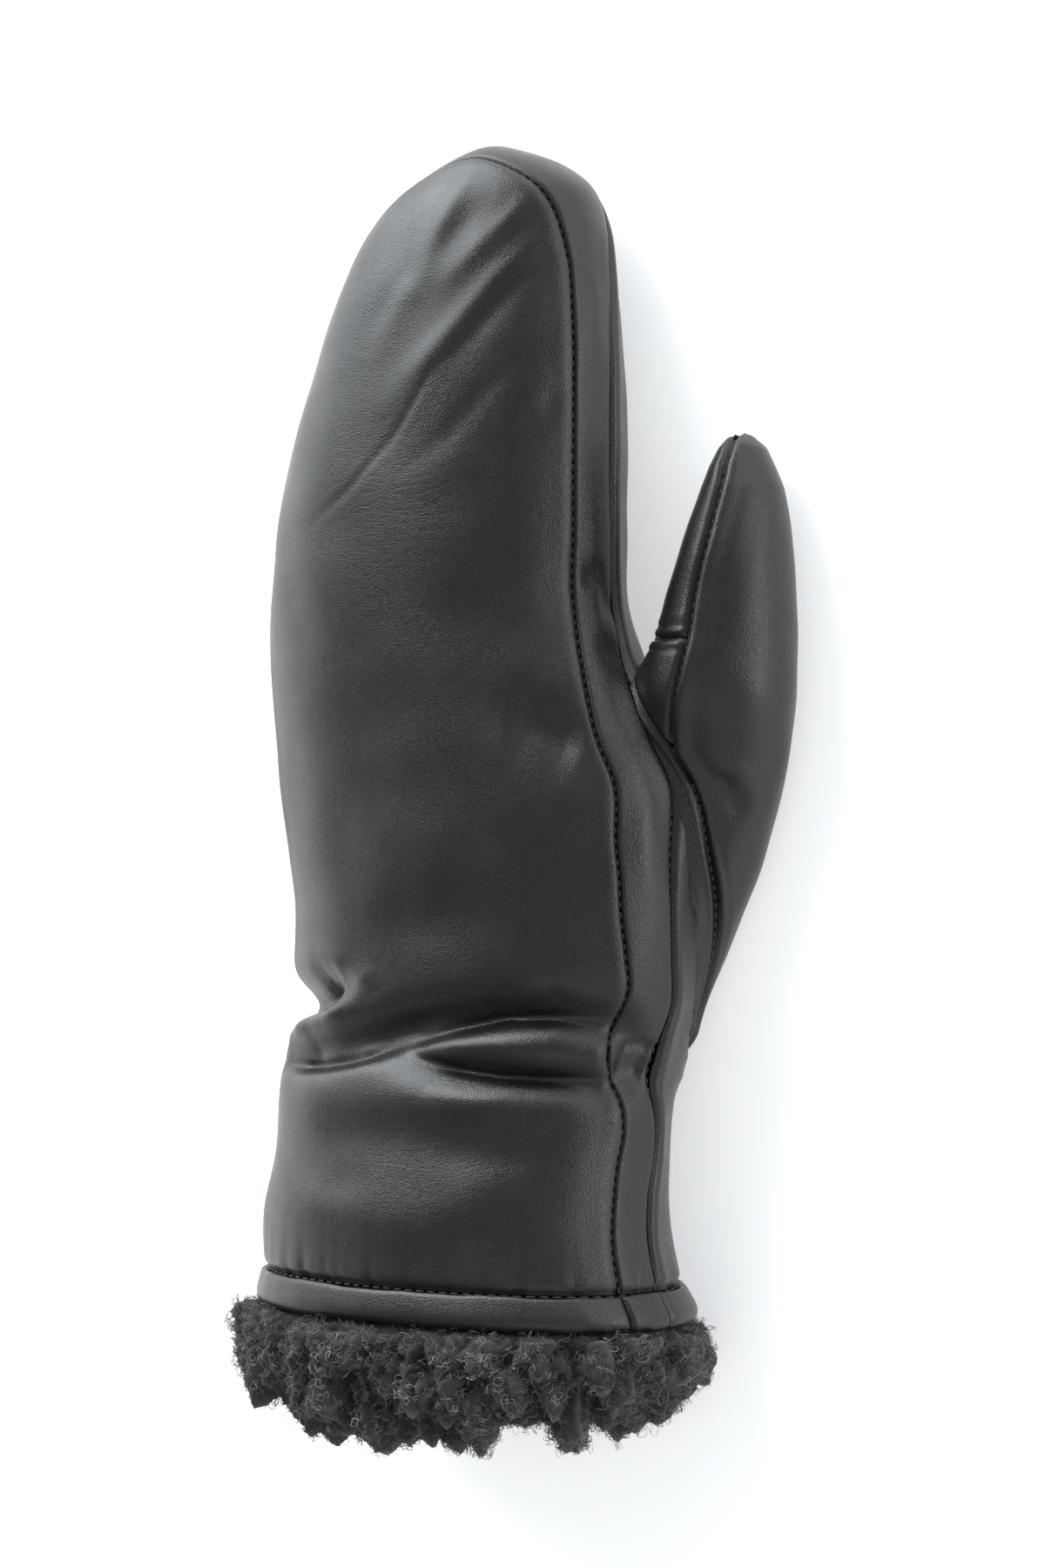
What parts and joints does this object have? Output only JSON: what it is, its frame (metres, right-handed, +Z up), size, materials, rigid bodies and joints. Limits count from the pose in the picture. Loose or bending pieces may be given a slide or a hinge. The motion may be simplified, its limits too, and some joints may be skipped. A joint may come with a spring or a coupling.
{
  "type": "mitten",
  "caption": "Lined leather mitten for a left hand, lying palm down: back and palm panels joined by a side strip, set-in thumb, turned hem, curly pile cuff that stands out of the wrist opening.",
  "frame": {"origin": "middle of the bounding box's footprint, on the surface the mitten lies on", "axes": "+Z up, with the back of the hand up; +Y from the wrist to the fingertips; the thumb on the +X side"},
  "size_m": [0.1474, 0.3188, 0.0745],
  "materials": {
    "back_panel": "soft gloss black leather, fine grain",
    "side_gusset": "soft gloss black leather, fine grain",
    "palm_panel": "soft gloss black leather, fine grain",
    "thumb_back": "soft gloss black leather, fine grain",
    "thumb_front": "soft gloss black leather, fine grain",
    "thumb_crotch": "soft gloss black leather, fine grain",
    "hem_back": "soft gloss black leather, turned and stitched",
    "hem_outer_side": "soft gloss black leather, turned and stitched",
    "hem_palm": "soft gloss black leather, turned and stitched",
    "hem_thumb_side": "soft gloss black leather, turned and stitched",
    "pile_cuff": "curly charcoal pile"
  },
  "bodies": {
    "root": {"back_panel": "back_panel", "side_gusset": "side_gusset", "palm_panel": "palm_panel", "thumb_back": "thumb_back", "thumb_front": "thumb_front", "thumb_crotch": "thumb_crotch", "hem_back": "hem_back", "hem_outer_side": "hem_outer_side", "hem_palm": "hem_palm", "hem_thumb_side": "hem_thumb_side", "pile_cuff": "pile_cuff"}
  },
  "joints": []
}
